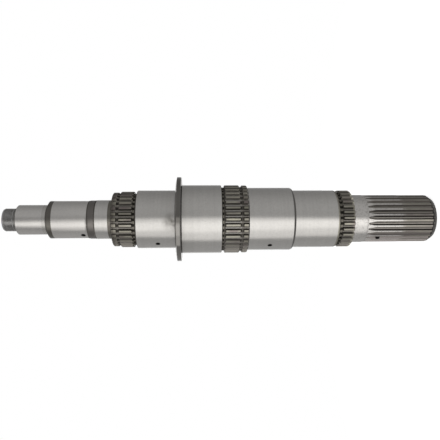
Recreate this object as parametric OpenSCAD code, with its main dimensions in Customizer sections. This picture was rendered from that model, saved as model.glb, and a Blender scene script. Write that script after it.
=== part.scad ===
// Main shaft of a heavy vehicle gearbox, turned, hobbed and ground from one steel forging.
// The shaft stands on the middle of its output end, which is the origin, and its tip points up +Z.
// Every length below runs along the shaft, and the sections follow each other from the output end.

/* [Output end] */
// Diameter of the flat end face
end_face_d = 57.6; // [54:0.1:62]
// Length of the long chamfer behind the end face
end_chamfer_l = 6.6; // [4:0.2:9]
// Diameter of the seat for the drive flange
seat_d = 66.1; // [65:0.1:66.4]
// Length of that seat, with its chamfer
seat_l = 46.2; // [30:1:60]
// Diameter over the splines behind the seat
output_d = 66.5; // [66.2:0.1:67.1]
// Length of that part
output_l = 51.8; // [50:0.1:70]
// Diameter of the ground journal between the splines and the rear spline
output_journal_d = 67.2; // [66.6:0.1:70]
// Length of the ground journal
output_journal_l = 19.3; // [12:0.1:26]
// Number of splines on the output end
output_teeth = 26; // [26:1:26]
// Length over which the output splines have their full depth
output_spline_l = 84.5; // [60:0.5:95]
// Diameter of the hob that left the run-outs of the output splines
hob_d = 70; // [50:2:90]
// Turn of the output splines about the shaft
output_turn = 8.1; // [0:0.1:13.8]

/* [Rear spline] */
// Outside diameter of the rear spline
rear_spline_d = 80; // [79:0.1:80.5]
// Width of the rear spline
rear_spline_w = 16.1; // [10:0.1:24]
// Number of teeth on the rear spline
rear_teeth = 31; // [31:1:31]
// Turn of the rear spline about the shaft
rear_turn = -1.9; // [-5.8:0.1:5.8]
// Width of the groove beside the rear spline
rear_groove_w = 4; // [2:0.2:6]

/* [Rear journals] */
// Diameter of the rear journal
rear_journal_d = 80.3; // [79:0.1:82.5]
// Length of the rear journal
rear_journal_l = 62; // [50:0.2:80]
// Diameter of the large journal
large_journal_d = 87.7; // [85:0.1:92]
// Length of the large journal
large_journal_l = 62.9; // [50:0.1:80]

/* [Middle spline] */
// Outside diameter of the narrow ring of teeth
middle_narrow_d = 94.4; // [94:0.1:95.3]
// Width of the narrow ring of teeth
middle_narrow_w = 7.3; // [5:0.1:12]
// Width of the groove between the two rings of teeth
middle_groove_w = 3.4; // [2:0.1:5]
// Outside diameter of the wide ring of teeth
middle_wide_d = 94.9; // [94:0.1:95.3]
// Width of the wide ring of teeth
middle_wide_w = 20.6; // [12:0.2:30]
// Width of the groove between the teeth and the flange journal
middle_relief_w = 4.1; // [2:0.1:6]
// Number of teeth on the middle spline
middle_teeth = 37; // [37:1:37]
// Turn of the middle spline about the shaft
middle_turn = 1.6; // [-4.8:0.1:4.8]

/* [Flange] */
// Diameter of the journal under the flange
flange_journal_d = 95.3; // [94.5:0.1:98]
// Length of that journal
flange_journal_l = 55.1; // [40:0.1:70]
// Outside diameter of the thrust flange
flange_d = 118; // [113:1:126]
// Thickness of the flange between its flat thrust faces
flange_t = 7.2; // [5:0.1:12]
// Width of the sloped border on the front thrust face, outside the gear's reach
flange_border_w = 6; // [2:0.5:7]
// How far that border falls away towards the rim
flange_border_depth = 1.4; // [0.4:0.1:2]

/* [Front journal] */
// Diameter of the journal above the flange
front_journal_d = 80.8; // [79:0.1:86]
// Length of that journal
front_journal_l = 53.5; // [40:0.2:70]
// Width of the groove between the journal and the front spline
front_relief_w = 4.3; // [2:0.1:6]

/* [Front spline] */
// Outside diameter of the wide ring of teeth
front_wide_d = 77.5; // [76.5:0.1:78]
// Width of the wide ring of teeth
front_wide_w = 18.1; // [12:0.1:26]
// Width of the groove between the two rings of teeth
front_groove_w = 3; // [2:0.2:5]
// Outside diameter of the narrow ring of teeth
front_narrow_d = 75; // [74:0.1:76]
// Width of the narrow ring of teeth
front_narrow_w = 7.5; // [5:0.5:12]
// Number of teeth on the front spline
front_teeth = 30; // [30:1:30]
// Turn of the front spline about the shaft
front_turn = -1; // [-6:0.1:6]

/* [Nose] */
// Diameter of the seat next to the front spline
nose_seat_d = 54; // [53:0.1:60]
// Length of that seat
nose_seat_l = 23; // [16:0.5:30]
// Diameter of the unground collar
collar_d = 53.3; // [52.5:0.1:53.8]
// Length of the collar's straight part
collar_l = 8.5; // [5:0.1:12]
// Length of the collar's taper
collar_taper_l = 4.1; // [2:0.1:6]
// Diameter of the bearing seat
bearing_seat_d = 51.9; // [48:0.1:52.3]
// Length of the bearing seat
bearing_seat_l = 52.1; // [40:0.1:65]
// Diameter of the pilot journal
pilot_d = 41; // [36:0.5:46]
// Length of the pilot journal
pilot_l = 42.9; // [30:0.1:55]
// Outside diameter of the tip
tip_d = 31.6; // [28:0.1:34]
// Length of the tip
tip_l = 19; // [14:0.1:25]

/* [Teeth] */
// Module of all the splines
spline_module = 2.5; // [2.4:0.05:2.5]
// Pressure angle of all the splines
pressure_angle = 30; // [30:1:37]
// Depth of the tooth spaces below the full tip diameter
space_depth = 2.75; // [2.4:0.05:2.9]
// Bevel in the corners at the bottom of a tooth space
root_bevel = 0.5; // [0.1:0.05:0.5]
// Bevel on the ends of the teeth
tooth_bevel = 0.9; // [0.4:0.1:1.2]

/* [Edges and reliefs] */
// Bevel on the edges of the journals
edge_bevel = 0.8; // [0.3:0.1:1.2]
// Length of the lead-in on the ends where gears and bearings slide on
lead_l = 2.2; // [1:0.1:3]
// Depth of that lead-in
lead_depth = 1.1; // [0.5:0.1:1.4]
// Width of the grinding reliefs beside the shoulders
relief_w = 1.1; // [1:0.1:2.5]
// Depth of the grinding reliefs below the journals
relief_depth = 0.6; // [0.2:0.05:0.8]
// How far the reliefs reach out across the shoulders
relief_reach = 0.8; // [0.6:0.1:1]
// Depth of the reliefs in the shoulders
relief_sink = 0.3; // [0.1:0.05:0.5]
// How far the grooves between two rings stop above the bottoms of the tooth spaces
groove_rise = 0.25; // [0.1:0.05:0.6]
// How far the grooves at the ends of the teeth go below them
end_groove_drop = 0.3; // [0.1:0.05:0.6]
// Width of the relief behind the tip's thread
thread_relief_w = 4; // [2:0.5:5]
// Depth of the relief behind the tip's thread
thread_relief_depth = 0.6; // [0.3:0.1:1]

/* [Oil ways] */
// Diameter of the oil gallery along the axis
gallery_d = 12; // [8:0.5:16]
// Height of the gallery's blind end above the output end
gallery_end = 62; // [40:1:72]
// Diameter of the cone at the gallery's mouth
gallery_mouth_d = 17; // [16.5:0.5:22]
// Diameter of the cross holes that carry the oil to the journals
oil_hole_d = 5.4; // [3:0.2:7]
// Direction of the cross holes about the shaft
oil_hole_turn = 214.2; // [0:0.1:360]
// Height of the hole in the output splines above the output end
output_hole_z = 79.7; // [74:0.1:95]
// Distance of the hole in the large journal from the journal's lower end
large_hole_offset = 32.6; // [10:0.1:45]
// Distance of the hole in the front journal from the flange
front_hole_offset = 24.5; // [10:0.1:35]
// Distance of the hole in the bearing seat from the collar
seat_hole_offset = 4.3; // [4:0.1:30]

/* [Centre hole] */
// Mouth diameter of the lathe centre hole in the output end
centre_mouth_d = 14; // [9:0.5:18]
// Diameter of the bottom of the centre hole
centre_drill_d = 5; // [3:0.5:7]
// Depth of the centre hole
centre_depth = 14; // [12:0.5:20]

/* [Hidden] */
$fn = 128;
// Where each section starts, as a height above the output end
output_journal_z = seat_l + output_l;
rear_spline_z = output_journal_z + output_journal_l;
rear_journal_z = rear_spline_z + rear_spline_w + rear_groove_w;
large_journal_z = rear_journal_z + rear_journal_l;
middle_narrow_z = large_journal_z + large_journal_l;
middle_wide_z = middle_narrow_z + middle_narrow_w + middle_groove_w;
flange_journal_z = middle_wide_z + middle_wide_w + middle_relief_w;
flange_z = flange_journal_z + flange_journal_l;
front_journal_z = flange_z + flange_t;
front_wide_z = front_journal_z + front_journal_l + front_relief_w;
front_narrow_z = front_wide_z + front_wide_w + front_groove_w;
nose_seat_z = front_narrow_z + front_narrow_w;
collar_z = nose_seat_z + nose_seat_l;
bearing_seat_z = collar_z + collar_l + collar_taper_l;
pilot_z = bearing_seat_z + bearing_seat_l;
tip_z = pilot_z + pilot_l;
total_l = tip_z + tip_l;
// Full tip diameter of a spline is one module more than its pitch diameter
function full_tip_d(teeth) = spline_module * (teeth + 1);
function floor_d(teeth) = full_tip_d(teeth) - 2 * space_depth;
// Cutters reach this far past the surface that they cut
overshoot = 0.6;
// Steepness of drilled and lathe-centre cones
drill_point_angle = 118;
centre_angle = 60;

// The half section is a list of [radius, height] points, and each function below gives a few of them.
// A cylinder with a bevel at its lower and its upper end. A bevel is [length along the shaft, depth].
function band(from, to, d, low, high) = [
    [d / 2 - low[1], from],
    [d / 2, from + low[0]],
    [d / 2, to - high[0]],
    [d / 2 - high[1], to]
];

// One bevelled edge, at the lower or the upper end of a cylinder.
function edge_below(z, d, bevel) = [[d / 2 - bevel[1], z], [d / 2, z + bevel[0]]];
function edge_above(z, d, bevel) = [[d / 2, z - bevel[0]], [d / 2 - bevel[1], z]];

// A ground cylinder's relief beside the shoulder below it or above it, sunk into the shoulder too.
function relief_above(z, d) = [
    [d / 2, z - relief_w],
    [d / 2 - relief_depth, z - relief_w + relief_depth],
    [d / 2 - relief_depth, z + relief_sink],
    [d / 2 + relief_reach - relief_sink, z + relief_sink],
    [d / 2 + relief_reach, z]
];
function relief_below(z, d) = [
    [d / 2 + relief_reach, z],
    [d / 2 + relief_reach - relief_sink, z - relief_sink],
    [d / 2 - relief_depth, z - relief_sink],
    [d / 2 - relief_depth, z + relief_w - relief_depth],
    [d / 2, z + relief_w]
];

// The floor of a groove at the end of the teeth, and of one between two rings.
function end_groove(teeth, from, to) =
    let(r = floor_d(teeth) / 2 - end_groove_drop)
    [[r, from], [r, to]];
function ring_groove(teeth, from, to) =
    let(r = floor_d(teeth) / 2 + groove_rise)
    [[r, from], [r, to]];

module turned_blank() {
    edge = [edge_bevel, edge_bevel];
    long_edge = [2 * edge_bevel, edge_bevel];
    tooth = [tooth_bevel, tooth_bevel];
    lead = [lead_l, lead_depth];
    border = [flange_border_depth, flange_border_w];
    middle_groove_z = middle_narrow_z + middle_narrow_w;
    middle_relief_z = middle_wide_z + middle_wide_w;
    front_relief_z = front_journal_z + front_journal_l;
    front_groove_z = front_wide_z + front_wide_w;
    output_step = (output_d - seat_d) / 2;
    journal_step = (output_journal_d - output_d) / 2;
    thread_core_r = tip_d / 2 - thread_relief_depth;
    rotate_extrude()
        polygon(concat(
            [[0, 0], [end_face_d / 2, 0], [seat_d / 2, end_chamfer_l], [seat_d / 2, seat_l]],
            [[output_d / 2, seat_l + output_step], [output_d / 2, output_journal_z]],
            [[output_journal_d / 2, output_journal_z + 2 * journal_step]],
            relief_above(rear_spline_z, output_journal_d),
            band(rear_spline_z, rear_spline_z + rear_spline_w, rear_spline_d, tooth, tooth),
            end_groove(rear_teeth, rear_spline_z + rear_spline_w, rear_journal_z),
            edge_below(rear_journal_z, rear_journal_d, long_edge),
            relief_above(large_journal_z, rear_journal_d),
            edge_below(large_journal_z, large_journal_d, lead),
            relief_above(middle_narrow_z, large_journal_d),
            band(middle_narrow_z, middle_groove_z, middle_narrow_d, tooth, tooth),
            ring_groove(middle_teeth, middle_groove_z, middle_wide_z),
            band(middle_wide_z, middle_relief_z, middle_wide_d, tooth, tooth),
            end_groove(middle_teeth, middle_relief_z, flange_journal_z),
            edge_below(flange_journal_z, flange_journal_d, edge),
            relief_above(flange_z, flange_journal_d),
            band(flange_z, front_journal_z, flange_d, edge, border),
            relief_below(front_journal_z, front_journal_d),
            edge_above(front_relief_z, front_journal_d, edge),
            end_groove(front_teeth, front_relief_z, front_wide_z),
            band(front_wide_z, front_groove_z, front_wide_d, tooth, tooth),
            ring_groove(front_teeth, front_groove_z, front_narrow_z),
            band(front_narrow_z, nose_seat_z, front_narrow_d, tooth, tooth),
            [[nose_seat_d / 2, nose_seat_z], [nose_seat_d / 2, collar_z]],
            [[collar_d / 2, collar_z], [collar_d / 2, collar_z + collar_l]],
            [[bearing_seat_d / 2, bearing_seat_z]],
            edge_above(pilot_z, bearing_seat_d, [edge_bevel, lead_depth]),
            relief_below(pilot_z, pilot_d),
            edge_above(tip_z, pilot_d, edge),
            [[thread_core_r, tip_z], [thread_core_r, tip_z + thread_relief_w - thread_relief_depth]],
            [[tip_d / 2, tip_z + thread_relief_w]],
            edge_above(total_l, tip_d, long_edge),
            [[0, total_l]]
        ));
}

// Half the angle of a tooth space at one radius, from the involute of the base circle.
function involute(angle) = tan(angle) - angle * PI / 180;
function half_space(teeth, r) =
    let(base_r = spline_module * teeth / 2 * cos(pressure_angle))
    let(angle = acos(base_r / r))
    let(half_tooth = PI / 2 / teeth + involute(pressure_angle) - involute(angle))
    180 / teeth - half_tooth * 180 / PI;

// Section of one tooth space on the X axis: two involute flanks over a flat bottom with bevelled corners.
function space_section(teeth) =
    let(floor_r = floor_d(teeth) / 2)
    let(top_r = full_tip_d(teeth) / 2 + overshoot)
    let(steps = 3)
    let(flank = [for (i = [0 : steps])
        let(r = floor_r + root_bevel + (top_r - floor_r - root_bevel) * i / steps)
        [r * cos(half_space(teeth, r)), r * sin(half_space(teeth, r))]])
    let(bottom = [floor_r, max(0.1, flank[0][1] - root_bevel)])
    concat(
        [bottom],
        flank,
        [for (i = [steps : -1 : 0]) [flank[i][0], -flank[i][1]]],
        [[bottom[0], -bottom[1]]]
    );

// Tooth spaces all round the shaft, open at both ends.
module tooth_spaces(teeth, from, to, turn) {
    for (i = [0 : teeth - 1])
        rotate([0, 0, turn + 360 * i / teeth])
            translate([0, 0, from])
                linear_extrude(to - from)
                    polygon(space_section(teeth));
}

// The output splines end where the round hob left the cut, so each space rises along an arc.
module output_spaces() {
    hob_r = hob_d / 2;
    hob_axis_r = floor_d(output_teeth) / 2 + hob_r;
    runout_angle = acos((hob_r - space_depth) / hob_r) + 3;
    section = space_section(output_teeth);
    for (i = [0 : output_teeth - 1])
        rotate([0, 0, output_turn + 360 * i / output_teeth]) {
            translate([0, 0, -overshoot])
                linear_extrude(output_spline_l + overshoot)
                    polygon(section);
            translate([hob_axis_r, 0, output_spline_l])
                rotate([90, 0, 180])
                    rotate_extrude(angle = runout_angle)
                        polygon([for (p = section) [hob_axis_r - p[0], p[1]]]);
        }
}

// A cross hole from the gallery out through the skin.
module cross_hole(z, d_there) {
    translate([0, 0, z])
        rotate([0, 90, oil_hole_turn])
            cylinder(d = oil_hole_d, h = d_there / 2 + overshoot);
}

module oil_ways() {
    point_l = gallery_d / 2 / tan(drill_point_angle / 2);
    mouth_l = (gallery_mouth_d - gallery_d) / 2 / tan(centre_angle / 2);
    translate([0, 0, gallery_end])
        cylinder(d = gallery_d, h = total_l - gallery_end + overshoot);
    translate([0, 0, gallery_end - point_l])
        cylinder(d1 = 0, d2 = gallery_d, h = point_l);
    translate([0, 0, total_l - mouth_l])
        cylinder(d1 = gallery_d, d2 = gallery_mouth_d, h = mouth_l);
    cross_hole(output_hole_z, output_d);
    cross_hole(large_journal_z + large_hole_offset, large_journal_d);
    cross_hole(front_journal_z + front_hole_offset, front_journal_d);
    cross_hole(bearing_seat_z + seat_hole_offset, bearing_seat_d);
}

module centre_hole() {
    cone_l = (centre_mouth_d - centre_drill_d) / 2 / tan(centre_angle / 2);
    cylinder(d1 = centre_mouth_d, d2 = centre_drill_d, h = cone_l);
    translate([0, 0, -overshoot])
        cylinder(d = centre_drill_d, h = centre_depth + overshoot);
}

module main_shaft() {
    // The cutters end in the middle of the grooves beside the teeth
    rear_top = rear_journal_z - rear_groove_w / 2;
    middle_top = flange_journal_z - middle_relief_w / 2;
    front_bottom = front_wide_z - front_relief_w / 2;
    color([0.62, 0.62, 0.61])
        difference() {
            turned_blank();
            output_spaces();
            tooth_spaces(rear_teeth, rear_spline_z - overshoot, rear_top, rear_turn);
            tooth_spaces(middle_teeth, middle_narrow_z - overshoot, middle_top, middle_turn);
            tooth_spaces(front_teeth, front_bottom, nose_seat_z + overshoot, front_turn);
            oil_ways();
            centre_hole();
        }
}

main_shaft();
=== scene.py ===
import math

import bpy
import numpy as np
from mathutils import Matrix, Vector


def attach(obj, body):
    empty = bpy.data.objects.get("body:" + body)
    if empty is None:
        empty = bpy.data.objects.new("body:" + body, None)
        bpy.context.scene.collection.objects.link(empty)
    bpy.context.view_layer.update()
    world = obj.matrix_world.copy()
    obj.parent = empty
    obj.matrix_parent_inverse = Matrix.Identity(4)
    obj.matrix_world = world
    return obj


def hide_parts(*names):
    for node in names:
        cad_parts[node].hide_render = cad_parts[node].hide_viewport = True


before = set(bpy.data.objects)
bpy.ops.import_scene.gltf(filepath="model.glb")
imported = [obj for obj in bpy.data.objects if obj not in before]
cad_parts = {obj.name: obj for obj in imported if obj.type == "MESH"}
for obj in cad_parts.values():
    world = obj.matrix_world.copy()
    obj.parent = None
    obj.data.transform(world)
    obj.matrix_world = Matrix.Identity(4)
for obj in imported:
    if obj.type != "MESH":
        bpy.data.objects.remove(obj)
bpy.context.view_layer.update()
scene = bpy.context.scene
scene.view_settings.view_transform = "Standard"


# The camera looks square across the standing shaft and is rolled, so the tip is on the left.
# The output end is turned 2.7 degrees away from it, and one pixel at the axis is 1.412 mm. Blender counts in
# metres, and a metre has 1000 mm.
MM = 1000
PICTURE = 440
FOCAL = 490
SENSOR = 36
PIXEL = 1.412 / MM
yaw = math.radians(2.7)
roll = 0.0044
forward = Vector((0, math.cos(yaw), -math.sin(yaw)))
to_output_end = Vector((0, -math.sin(yaw), -math.cos(yaw)))
across = Vector((1, 0, 0))
right = math.cos(roll) * to_output_end - math.sin(roll) * across
up = math.cos(roll) * across + math.sin(roll) * to_output_end
aim = Vector((-0.97 * PIXEL, 0, 0.299))
camera = bpy.data.objects.new("camera", bpy.data.cameras.new("camera"))
camera.data.sensor_width = SENSOR
camera.data.lens = SENSOR * FOCAL / PICTURE
facing = Matrix((right, up, -forward)).transposed().to_4x4()
camera.matrix_world = Matrix.Translation(aim - forward * FOCAL * PIXEL) @ facing
scene.collection.objects.link(camera)
scene.camera = camera


# The room is mid grey, lighter above the camera and below behind the shaft, and darker on the camera's
# side towards the tip. The camera sees it white all round, and polished steel sees white only far behind.
MID_GREY = 0.385
room = bpy.data.worlds.new("room")
room.use_nodes = True
scene.world = room
tree = room.node_tree
tree.nodes.clear()


def put(kind, *values, out=0, **settings):
    """Adds one node to the tree in hand, gives its inputs the values or links in their order, and returns
    one of its outputs."""
    made = tree.nodes.new("ShaderNode" + kind)
    for name, setting in settings.items():
        setattr(made, name, setting)
    for socket, value in zip(made.inputs, values):
        if isinstance(value, bpy.types.NodeSocket):
            tree.links.new(value, socket)
        elif value is not None:
            socket.default_value = value
    return made.outputs[out] if made.outputs else None


def calc(operation, *values):
    """One sum of numbers, as a Math node."""
    return put("Math", *values, operation=operation)


def spread(value, low, high, first=0.0, last=1.0):
    """Goes straight from first to last while the value goes from low to high, and is level outside."""
    return put("MapRange", value, low, high, first, last)


way = put("TexCoord", out="Generated")
way_x, way_y, way_z = (put("SeparateXYZ", way, out=axis) for axis in "XYZ")
grey = calc("MULTIPLY_ADD", way_y, -0.035, MID_GREY)
grey = calc("MULTIPLY_ADD", way_x, -0.02, grey)
grey = calc("MULTIPLY_ADD", calc("MULTIPLY", way_x, way_y), -0.13, grey)
by_tip = calc("MULTIPLY", spread(way_y, 0.0, -0.3), spread(way_z, 0.1, 0.25))
dim = calc("MULTIPLY", spread(way_x, 0.45, 0.14, 0.0, 0.28), by_tip)
grey = calc("MULTIPLY", grey, calc("SUBTRACT", 1.0, dim))
low_behind = calc("MULTIPLY_ADD", way_x, -0.2, calc("MULTIPLY", way_y, 0.98))
behind = put("MapRange", low_behind, 0.95, 0.99, 0.0, 1.0, interpolation_type="SMOOTHSTEP")
glossy = put("LightPath", out="Is Glossy Ray")
mirrored = calc("MAXIMUM", glossy, put("LightPath", out="Is Transmission Ray"))
white = calc("MAXIMUM", calc("MULTIPLY", mirrored, behind), put("LightPath", out="Is Camera Ray"))
walls = put("Background", put("CombineColor", grey, grey, grey), 1.0)
screen = put("Background", (1, 1, 1, 1), 1.0)
put("OutputWorld", put("MixShader", white, walls, screen))


# One long softbox on the camera's side, with a hot middle, gives each journal its bright band.
# A weaker one straight behind keeps the far side of the shaft lively in the other views.
def softbox(name, first_angle, last_angle, distance, low, high, strength, tilt=0.0):
    """A flat oval light along the shaft that spans two angles round it, counted from the camera's side
    towards -X. Its brightness is its power over its area and pi. Its area is pi / 4 of its two lengths."""
    centre_angle = math.radians((first_angle + last_angle) / 2)
    half_angle = math.radians((last_angle - first_angle) / 2)
    outwards = Vector((-math.sin(centre_angle), -math.cos(centre_angle), 0))
    upright = Vector((0, 0, 1))
    lamp = bpy.data.lights.new(name, "AREA")
    lamp.shape = "ELLIPSE"
    lamp.size = 2 * distance * math.tan(half_angle)
    lamp.size_y = high - low
    lamp.color = (1.0, 0.99, 0.975)
    lamp.energy = strength * math.pi * math.pi / 4 * lamp.size * lamp.size_y
    turn = Matrix((upright.cross(outwards), upright, outwards)).transposed().to_4x4()
    centre = outwards * distance + upright * (low + high) / 2
    box = bpy.data.objects.new(name, lamp)
    box.matrix_world = Matrix.Translation(centre) @ turn @ Matrix.Rotation(math.radians(tilt), 4, "Z")
    scene.collection.objects.link(box)


softbox("key", -5, 76, 1.3, -0.85, 1.17, 0.69, tilt=11)
softbox("hot_middle", 9, 42, 1.25, -1.1, 1.6, 0.38, tilt=17)
softbox("back_fill", 165, 200, 1.4, -1.0, 1.6, 0.5)


# The floor under the output end is white paper, which keeps the shaft's soft shadow.
# It is a plain disc in the plane of the end face, its edge a circle, and the camera sees it almost edge on.
PAPER_RADIUS = 0.6
PAPER_CORNERS = 96
angles = np.arange(PAPER_CORNERS) * 2 * np.pi / PAPER_CORNERS
paper_edge = PAPER_RADIUS * np.stack([np.cos(angles), np.sin(angles), 0 * angles], 1)
disc = bpy.data.meshes.new("floor")
disc.from_pydata(paper_edge, [], [list(range(PAPER_CORNERS))])
floor = bpy.data.objects.new("floor", disc)
scene.collection.objects.link(floor)
paper = bpy.data.materials.new("white_paper")
paper.use_nodes = True
tree = paper.node_tree
tree.nodes.clear()
grain = put("TexNoise", put("TexCoord", out="Object"), None, 900.0, 3.0)
paper_grey = spread(grain, 0.3, 0.7, 0.82, 0.86)
lit = put("BsdfDiffuse", put("CombineColor", paper_grey, paper_grey, paper_grey))
whitened = put("Emission", (1, 1, 1, 1), calc("MULTIPLY", put("LightPath", out="Is Camera Ray"), 0.8))
put("OutputMaterial", put("AddShader", lit, whitened))
floor.visible_glossy = False
disc.materials.append(paper)


# The shaft is one steel forging: turned, hobbed, case hardened, and ground on its journals and seats.
# Ground skin is bright with fine marks round it, and what the wheel left is dark from the furnace.
RAMP_SPAN = 600
steel = bpy.data.materials.new("shaft_steel")
steel.use_nodes = True
tree = steel.node_tree
tree.nodes.clear()


def root_of_squares(a, b):
    """How far a point lies from another that is a to one side of it and b above it."""
    return calc("SQRT", calc("ADD", calc("MULTIPLY", a, a), calc("MULTIPLY", b, b)))


spot = put("TexCoord", out="Object")
x, y, z = (put("SeparateXYZ", spot, out=axis) for axis in "XYZ")
height = calc("MULTIPLY", z, MM)
radius = calc("MULTIPLY", root_of_squares(x, y), MM)
around = calc("ARCTAN2", y, x)


def noise(scale, detail=2.0, roughness=0.5):
    """Cloudy noise from 0 to 1. The scale is in cycles per metre on X, on Y and along the shaft."""
    stretched = put("Mapping", spot, None, None, scale)
    return put("TexNoise", stretched, None, 1.0, detail, roughness)


def tint(factor, first, second):
    """The first colour where the factor is 0, the second where it is 1, and a straight mix between."""
    mix = tree.nodes.new("ShaderNodeMix")
    mix.data_type = "RGBA"
    for socket, value in zip((mix.inputs[0], mix.inputs[6], mix.inputs[7]), (factor, first, second)):
        if isinstance(value, bpy.types.NodeSocket):
            tree.links.new(value, socket)
        else:
            socket.default_value = (*value, 1)
    return mix.outputs[2]


def along(stops, most=1.0, level=height):
    """A value that holds from each stop to the next, where a stop is a height in mm and the value from there
    up. A ramp keeps it as a part of the most it may be. Blender reads a ramp in 256 steps, of 2.34 mm here,
    so a stop acts from the next whole step, and a range with no such step in it would not act."""
    ramp = tree.nodes.new("ShaderNodeValToRGB")
    ramp.color_ramp.interpolation = "CONSTANT"
    while len(ramp.color_ramp.elements) < len(stops):
        ramp.color_ramp.elements.new(0.5)
    for element, (at, value) in zip(ramp.color_ramp.elements, stops):
        element.position = at / RAMP_SPAN
        element.color = (value / most, value / most, value / most, 1)
    tree.links.new(calc("DIVIDE", level, RAMP_SPAN), ramp.inputs[0])
    return ramp.outputs[0] if most == 1.0 else calc("MULTIPLY", ramp.outputs[0], most)


def bands(*ranges):
    """A value on some ranges of the shaft and 0 between them. A range is two heights in mm and its value."""
    stops = [(0, 0.0)]
    for low, high, value in ranges:
        stops += [(low, value), (high, 0.0)]
    return along(stops)


# Depth below the skin: how far a point lies inside the outside radius of its section, both in mm.
# The end chamfer takes 0.64 mm off the radius for each mm below a height of 6.6 mm.
skin_radius = along([
    (0, 33.05), (46.2, 33.25), (98.7, 33.6), (117.3, 40.0), (137, 40.15), (199.4, 43.85),
    (262.3, 47.2), (271, 47.45), (296, 47.65), (352.8, 59.0), (360, 40.4), (415, 38.75),
    (437, 37.5), (446.4, 27.0), (469.4, 26.65), (479.9, 25.95), (534.1, 20.5), (577, 15.8),
], 100)
end_chamfer = calc("MULTIPLY", calc("MAXIMUM", calc("SUBTRACT", 6.6, height), 0.0), 0.64)
depth = calc("SUBTRACT", calc("SUBTRACT", skin_radius, end_chamfer), radius)

# Ground skin is 1 and furnace skin is 0, from the output end to the tip. The edges that the wheel left
# wander a little, and the seat at the output end is worn dull.
edge_wander = calc("MULTIPLY_ADD", noise((40, 40, 40)), 0.8, -0.4)
ground = along([
    (0, 0.9), (98, 1.0), (116.9, 0.1), (138.5, 1.0), (262.3, 0.1), (297.3, 1.0), (352.8, 0.08),
    (360, 1.0), (413.6, 0.1), (446.4, 0.0), (451.5, 1.0), (469.4, 0.05), (480.1, 1.0), (526.4, 0.0),
    (535.3, 0.8), (540.5, 1.0), (577, 0.15),
], level=calc("ADD", height, edge_wander))
worn_in = spread(calc("MULTIPLY_ADD", edge_wander, 3.0, height), 43.0, 50.0, 0.36, 1.0)
ground = calc("MULTIPLY", ground, worn_in)

# Ground steel has fine marks round the shaft, a faint cloudiness, and speckles on the output end.
# The output splines are browner on their seat and brighter behind it, and the steel by the flange is painted
# duller as shade from the flange.
FLANGE_MIDDLE = 356
SCUFF_AND_SHADE = (0.3, 0.29, 0.275)
marks = noise((4, 4, 200), 5.0, 0.7)
cloud = noise((16, 16, 9), 3.0, 0.55)
bright = tint(spread(marks, 0.25, 0.75), (0.588, 0.573, 0.549), (0.668, 0.653, 0.625))
bright = tint(spread(noise((330, 330, 330)), 0.35, 0.7, 0.0, 0.1), bright, SCUFF_AND_SHADE)
bright = tint(along([(0, 0.8), (117, 0.0), (480, 0.5)]), bright, (0.72, 0.695, 0.668))
rubbed = tint(along([(0, 0.0), (48, 1.0)]), (0.5, 0.45, 0.4), (0.86, 0.83, 0.8))
bright = tint(along([(0, 0.4), (48, 0.6), (95, 0.0)]), bright, rubbed)
bright = tint(spread(cloud, 0.42, 0.72, 0.0, 0.4), bright, (0.5, 0.487, 0.468))
speckles = calc("MULTIPLY", spread(noise((600, 600, 600), 1.0), 0.5, 0.72), along([(0, 0.6), (117, 0.14)]))
bright = tint(speckles, bright, (0.3, 0.28, 0.26))
# Painted shade: the steel on both sides of the flange is darkened in patches towards the scuffed grey, most
# within 6 mm of it.
flange_shade = spread(calc("ABSOLUTE", calc("SUBTRACT", height, FLANGE_MIDDLE)), 32.0, 6.0, 0.0, 0.1)
bright = tint(calc("MULTIPLY", flange_shade, calc("MULTIPLY_ADD", cloud, 0.8, 0.6)), bright, SCUFF_AND_SHADE)

# A dull smudge of old oil lies on the front journal, close to the flange. It thins out over 12 mm,
# and is broken up by noise.
SMUDGE_MIDDLE = (-0.004, -0.0402, 0.3648)
from_middle = put("VectorMath", spot, SMUDGE_MIDDLE, operation="DISTANCE", out="Value")
smudge = calc("MULTIPLY", spread(from_middle, 0.0145, 0.003), spread(noise((170, 170, 170)), 0.15, 0.6))
bright = tint(calc("MULTIPLY", smudge, 0.95), bright, (0.24, 0.228, 0.21))

# Furnace skin is brown-grey with olive and purple tints, which change from tooth to tooth. The rear and
# middle rings are a little lighter, the unground strips at the nose are darker, and the tip is plain grey.
tempered = tint(spread(noise((55, 55, 25), 3.0), 0.35, 0.65), (0.25, 0.226, 0.188), (0.245, 0.24, 0.174))
tempered = tint(spread(noise((160, 160, 60)), 0.3, 0.75), tempered, (0.355, 0.338, 0.284))
tempered = tint(spread(noise((110, 110, 30), 1.0), 0.58, 0.7), tempered, (0.44, 0.42, 0.325))
tempered = tint(spread(noise((75, 75, 35), 1.0), 0.56, 0.66), tempered, (0.19, 0.155, 0.145))
tempered = tint(bands((117, 200, 0.1), (271, 300, 0.13)), tempered, (0.64, 0.61, 0.54))
strips = along([
    (0, 0.0), (446.4, 0.6), (451.5, 0.0), (469.4, 0.92), (480.1, 0.0), (526.4, 0.85), (535.3, 0.4),
    (540.5, 0.0),
])
strip = tint(bands((469.4, 480.1, 1.0)), (0.13, 0.122, 0.114), (0.158, 0.146, 0.138))
tempered = tint(strips, tempered, strip)
tempered = tint(along([(0, 0.0), (577, 1.0)]), tempered, (0.46, 0.458, 0.454))
skin_colour = tint(ground, tempered, bright)

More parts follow.
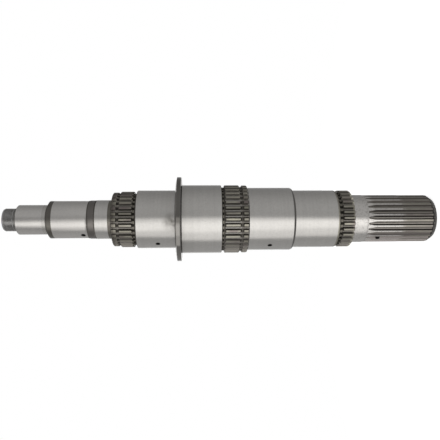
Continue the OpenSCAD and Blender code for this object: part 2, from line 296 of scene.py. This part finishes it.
# The hob cut four sets of splines. For each one: the height from which it counts, its teeth, and the
# degrees by which a space is turned from +X. The tops of the output teeth have dark broken edges, as far as
# the teeth are cut to full depth.
SPLINES = ((0, 26, 8.1), (98, 31, -1.9), (200, 37, 1.6), (400, 30, -1.0))
teeth = along([(start, count) for start, count, turn in SPLINES], 100)
first_space = along([(start, math.radians(count * turn % 360)) for start, count, turn in SPLINES], 10)
from_space = calc("SUBTRACT", calc("MULTIPLY", around, teeth), first_space)
on_edge = spread(calc("COSINE", calc("SUBTRACT", from_space, 0.25)), -0.8, -0.62)
broken_edge = calc("MULTIPLY", on_edge, spread(height, 86.0, 92.0, 0.9, 0.0))
skin_colour = tint(broken_edge, skin_colour, (0.18, 0.163, 0.146))

# Below the skin, the flanks of the teeth are painted dark as shade between the teeth, and painted lighter
# towards -X, where they face the key light; on the output end they are also painted a little lighter towards
# +X. How far a point is turned to -X is -X over the radius of its section, from -1 to 1. On plain sections
# the first 0.16 mm below the skin count as skin too.
toothed = along([
    (0, 1.0), (98, 0.0), (117.3, 1.0), (136.6, 0.0), (262.3, 1.0), (297, 0.0), (413.5, 1.0), (446.4, 0.0),
])
on_output = along([(0, 1.0), (98, 0.0)])
cut_depth = calc("MULTIPLY_ADD", toothed, 0.16, calc("SUBTRACT", depth, 0.16))
cut = calc("MULTIPLY", spread(cut_depth, 0.03, 0.2), along([(0, 0.45), (5.4, 1.0), (577, 0.6), (581, 0.0)]))
turned_down = calc("DIVIDE", calc("MULTIPLY", x, -MM), skin_radius)
shade = tint(spread(turned_down, -0.3, -0.7), (0.06, 0.054, 0.049), (0.125, 0.114, 0.103))
shade = tint(on_output, (0.12, 0.112, 0.098), shade)
lit_lower_flank = tint(on_output, (0.27, 0.252, 0.232), (0.43, 0.388, 0.372))
painted_flank_shading = tint(spread(turned_down, 0.45, 0.8), shade, lit_lower_flank)

# The turned grooves in and beside the toothed rings are painted black in line with the teeth, as the shadow
# of the teeth's ends, and grey in line with the spaces, where the hob passed.
groove = bands(
    (133.4, 137.2, 1.0), (269.6, 273, 0.7), (293.6, 297.6, 1.0), (414.2, 417.8, 1.0), (435.9, 438.9, 0.7),
)
in_space = spread(calc("COSINE", from_space), -0.2, 0.3)
shadowed_groove_bottom = tint(in_space, (0.035, 0.032, 0.028), (0.26, 0.243, 0.208))
colour = tint(cut, skin_colour, tint(groove, painted_flank_shading, shadowed_groove_bottom))

# The floors of the tooth spaces are grey where the hob left them. On the output end they rise out of the
# shaft past the full splines, by the hob's radius less the root of its square less the square of the way
# past, and the grey fades there.
HOB_RADIUS = 35.0
FULL_SPLINE_END = 84.5
past_spline = calc("MAXIMUM", calc("SUBTRACT", height, FULL_SPLINE_END), 0.0)
hob_drop = calc("MAXIMUM", calc("SUBTRACT", HOB_RADIUS ** 2, calc("POWER", past_spline, 2.0)), 0.0)
hob_rise = calc("SUBTRACT", HOB_RADIUS, calc("SQRT", hob_drop))
floor_radius = along([(0, 31.0), (110, 37.25), (200, 44.75), (400, 36.0)], 100)
floor_radius = calc("MULTIPLY_ADD", hob_rise, on_output, floor_radius)
off_floor = calc("ABSOLUTE", calc("SUBTRACT", floor_radius, radius))
on_floor = spread(off_floor, 0.12, calc("MULTIPLY_ADD", on_output, 0.08, 0.2), 1.0, 0.0)
on_floor = calc("MULTIPLY", on_floor, calc("MULTIPLY", toothed, cut))
greyed = calc("MAXIMUM", spread(past_spline, 8.5, 11.5, 1.0, 0.2), calc("GREATER_THAN", height, 98.0))
hobbed = tint(noise((300, 300, 40)), (0.2, 0.187, 0.168), (0.33, 0.31, 0.283))
hobbed = tint(bands((271, 300, 0.38)), hobbed, (0.6, 0.585, 0.56))
hobbed = tint(on_output, hobbed, (0.37, 0.344, 0.312))
colour = tint(calc("MULTIPLY", on_floor, greyed), colour, hobbed)

# The groove at the shoulder of the large journal and both edges of the flange are painted dark, as shade in
# these recesses.
# The flange's turned rim is painted darker towards +X, as shade where its highlight does not reach.
shaded_rim = tint(spread(x, -0.003, -0.009), (0.175, 0.166, 0.153), (0.265, 0.254, 0.238))
colour = tint(bands((198.4, 200.4, 0.75)), colour, (0.06, 0.057, 0.052))
colour = tint(bands((353.0, 359.0, 1.0)), colour, shaded_rim)
colour = tint(bands((351.0, 353.0, 0.7)), colour, (0.04, 0.038, 0.035))
colour = tint(bands((358.0, 359.0, 0.6)), colour, (0.06, 0.057, 0.053))

# The mouths of the four drilled oil holes, all in one line along the shaft, have dark broken edges, painted
# as shade in their small countersinks. Each stop gives one hole's own height, and the line lies 214.2 degrees
# round from +X.
OIL_WAY = math.radians(214.2)
oil_height = along([(0, 79.7), (150, 232.0), (300, 384.5), (430, 486.3)], RAMP_SPAN)
beside_hole = calc("MULTIPLY", x, -MM * math.sin(OIL_WAY))
beside_hole = calc("MULTIPLY_ADD", y, MM * math.cos(OIL_WAY), beside_hole)
from_hole = root_of_squares(beside_hole, calc("SUBTRACT", height, oil_height))
mouth_shade = calc("MULTIPLY", spread(from_hole, 3.6, 2.9, 0.0, 0.85), calc("LESS_THAN", x, 0.0))
colour = tint(mouth_shade, colour, (0.04, 0.038, 0.036))

# The faces across the shaft, whose normals lie along it, are turned plain. Those of the toothed rings
# keep the furnace skin.
facing_end = calc("ABSOLUTE", put("SeparateXYZ", put("TexCoord", out="Normal"), out="Z"))
faces = spread(facing_end, 0.8, 0.95)
turned = tint(spread(noise((260, 260, 260)), 0.3, 0.7), (0.33, 0.318, 0.3), (0.37, 0.357, 0.337))
colour = tint(faces, colour, tint(toothed, turned, (0.165, 0.15, 0.133)))

# The narrow front ring is darker, most of all its bevelled leading half. The end chamfer of the shaft is
# dull, with a dark line where it meets the splines.
front_ring = along([(0, 0.0), (438.9, 0.3), (442.6, 0.65), (446.4, 0.0)])
colour = tint(front_ring, colour, (0.105, 0.095, 0.083))
colour = tint(along([(0, 0.75), (5.0, 0.0)]), colour, (0.19, 0.182, 0.172))
colour = tint(bands((4.6, 6.4, 0.75)), colour, (0.05, 0.047, 0.044))

# Ground steel is smoother than furnace skin, cuts and the smudge are dull, and the flange rim and the tip
# shine. The marks of the grinding wheel and the tools lie in the surface too.
MARK_DEPTH = 0.000004
dull = calc("MULTIPLY", cut, calc("MULTIPLY_ADD", faces, -0.8, 1.0))
rough = calc("MULTIPLY_ADD", ground, -0.05, 0.32)
rough = calc("MULTIPLY_ADD", dull, 0.2, rough)
rough = calc("MULTIPLY_ADD", marks, 0.06, rough)
rough = calc("MULTIPLY_ADD", smudge, 0.15, rough)
shine = along([(0, 0.0), (353, 0.2), (360, 0.0), (534.3, 0.04), (577, 0.19)])
rough = calc("SUBTRACT", rough, shine)
relief = put("Bump", 1.0, 1.0, None, calc("MULTIPLY", marks, MARK_DEPTH))
surface = tree.nodes.new("ShaderNodeBsdfPrincipled")
surface.inputs["Metallic"].default_value = 1.0
surface.inputs["Anisotropic"].default_value = 0.6
surface.inputs["Anisotropic Rotation"].default_value = 0.25
tree.links.new(put("Tangent", direction_type="RADIAL", axis="Z"), surface.inputs["Tangent"])
tree.links.new(colour, surface.inputs["Base Color"])
tree.links.new(rough, surface.inputs["Roughness"])
tree.links.new(tint(dull, (1.0, 1.0, 1.0), (0.4, 0.4, 0.4)), surface.inputs["Specular Tint"])
tree.links.new(relief, surface.inputs["Normal"])
put("OutputMaterial", surface.outputs[0])


# The tip is threaded, 32 mm by 1.5 mm, behind a relief groove. The solid has a plain tip, so a copy of it
# stands for it here, in which a grid takes the place of the tip's side. All its other triangles and normals
# are the solid's own.
NEAR = 0.02
PITCH = 1.5
THREAD_DEPTH = 0.6134 * PITCH
CREST, BOTTOM = 1 / 8, 1 / 4
RUN_OUT = 1.2
TIP_RADIUS = 15.8
TIP_LOW, TIP_HIGH = 581.0, 594.4
TIP_FACETS = 42
TIP_ROWS = 188
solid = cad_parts["main_shaft"].data
solid_points = np.empty(len(solid.vertices) * 3, np.float32)
solid.vertices.foreach_get("co", solid_points)
solid_points = solid_points.reshape(-1, 3)
triangles = np.empty(len(solid.loops), np.int32)
solid.loops.foreach_get("vertex_index", triangles)
triangles = triangles.reshape(-1, 3)
normals = np.empty(len(solid.loops) * 3, np.float32)
solid.corner_normals.foreach_get("vector", normals)
normals = normals.reshape(-1, 3, 3)
on_side = np.abs(np.hypot(solid_points[:, 0], solid_points[:, 1]) * MM - TIP_RADIUS) < NEAR
on_tip = on_side & (solid_points[:, 2] * MM > TIP_LOW - NEAR)
kept = ~on_tip[triangles].all(1)

# The thread's radius is that of the crests less the depth of a right-handed groove. Over one pitch the groove
# falls from a crest of an eighth of the pitch to a flat bottom of a quarter, and it runs out at both ends.
turns = np.arange(TIP_FACETS) / TIP_FACETS
turns, up_tip = np.meshgrid(turns, np.linspace(TIP_LOW, TIP_HIGH, TIP_ROWS))
from_bottom = np.abs(2 * ((up_tip / PITCH - turns) % 1) - 1)
groove_share = np.clip((1 - CREST - from_bottom) / (1 - CREST - BOTTOM), 0, 1)
full_share = np.clip(np.minimum(up_tip - TIP_LOW, TIP_HIGH - up_tip) / RUN_OUT, 0, 1)
thread_r = TIP_RADIUS - THREAD_DEPTH * full_share * groove_share
angle = 2 * np.pi * turns
points = np.stack([thread_r * np.cos(angle), thread_r * np.sin(angle), up_tip], 2) / MM
for ring in (0, -1):
    gaps = np.linalg.norm(points[ring][:, None] - solid_points[on_tip][None], axis=2)
    points[ring] = solid_points[on_tip][gaps.argmin(1)]
here = np.arange((TIP_ROWS - 1) * TIP_FACETS).reshape(-1, TIP_FACETS)
beside = np.roll(here, -1, axis=1)
above, above_beside = here + TIP_FACETS, beside + TIP_FACETS
thread_triangles = np.stack([here, beside, above_beside, here, above_beside, above], 2).reshape(-1, 3)
thread = bpy.data.meshes.new("thread")
thread.from_pydata(points.reshape(-1, 3), [], thread_triangles.tolist())
thread.shade_smooth()
thread.set_sharp_from_angle(angle=math.radians(35))
thread_normals = np.empty(len(thread.loops) * 3, np.float32)
thread.corner_normals.foreach_get("vector", thread_normals)

# The solid without its tip's side and the thread become one closed mesh: points in the same place are
# merged, and triangles that lose a side by that are left out.
every_point = np.concatenate([solid_points, points.reshape(-1, 3).astype(np.float32)])
every_triangle = np.concatenate([triangles[kept], thread_triangles + len(solid_points)])
every_normal = np.concatenate([normals[kept], thread_normals.reshape(-1, 3, 3)])
merged, place_of = np.unique(every_point, axis=0, return_inverse=True)
joined = place_of.reshape(-1)[every_triangle]
real = (joined != np.roll(joined, 1, axis=1)).all(1)
surface_mesh = bpy.data.meshes.new("threaded_shaft")
surface_mesh.from_pydata(merged, [], joined[real].tolist())
surface_mesh.normals_split_custom_set(every_normal[real].reshape(-1, 3))
surface_mesh.materials.append(steel)
shaft = bpy.data.objects.new("threaded_shaft", surface_mesh)
scene.collection.objects.link(shaft)
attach(shaft, "root")
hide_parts("main_shaft")
